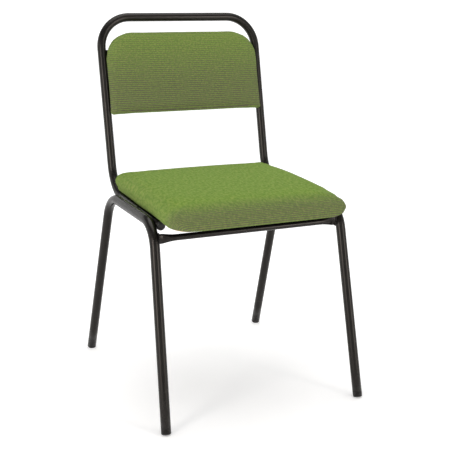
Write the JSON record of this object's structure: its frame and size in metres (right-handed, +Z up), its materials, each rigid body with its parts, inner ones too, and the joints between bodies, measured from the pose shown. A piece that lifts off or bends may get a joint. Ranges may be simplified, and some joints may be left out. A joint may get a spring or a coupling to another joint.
{
  "type": "stacking chair",
  "caption": "Stacking chair with a bent tube back loop, splayed tube leg frames, and a green upholstered seat and back pad.",
  "frame": {"origin": "on the floor, at the middle of the chair's width and depth", "axes": "+X to the right seen from the front of the chair with the sitter facing -Y, +Y to the back, +Z up"},
  "size_m": [0.4684, 0.5164, 0.7981],
  "materials": {
    "black_powder_coat": "satin",
    "black_plastic": "satin",
    "plywood": "matte",
    "foam": "matte",
    "green_cloth": "matte",
    "black_lining": "matte",
    "zinc_steel": "satin",
    "black_steel": "satin"
  },
  "bodies": {
    "root": {"left_leg_frame": "black_powder_coat", "right_leg_frame": "black_powder_coat", "back_frame": "black_powder_coat", "front_crossbar": "black_powder_coat", "rear_crossbar": "black_powder_coat", "seat_tabs": "black_powder_coat", "back_pad_tabs": "black_powder_coat", "frame_welds": "black_powder_coat", "front_left_foot": "black_plastic", "front_right_foot": "black_plastic", "rear_left_foot": "black_plastic", "rear_right_foot": "black_plastic", "left_rail_plug": "black_plastic", "right_rail_plug": "black_plastic", "seat_board": "plywood", "back_board": "plywood", "seat_foam": "foam", "back_foam": "foam", "back_rear_foam": "foam", "seat_cover": "green_cloth", "back_cover": "green_cloth", "seat_lining": "black_lining", "seat_tee_nuts": "zinc_steel", "back_tee_nuts": "zinc_steel", "seat_screws": "black_steel", "back_screws": "black_steel", "seat_staples": "zinc_steel"}
  },
  "joints": []
}
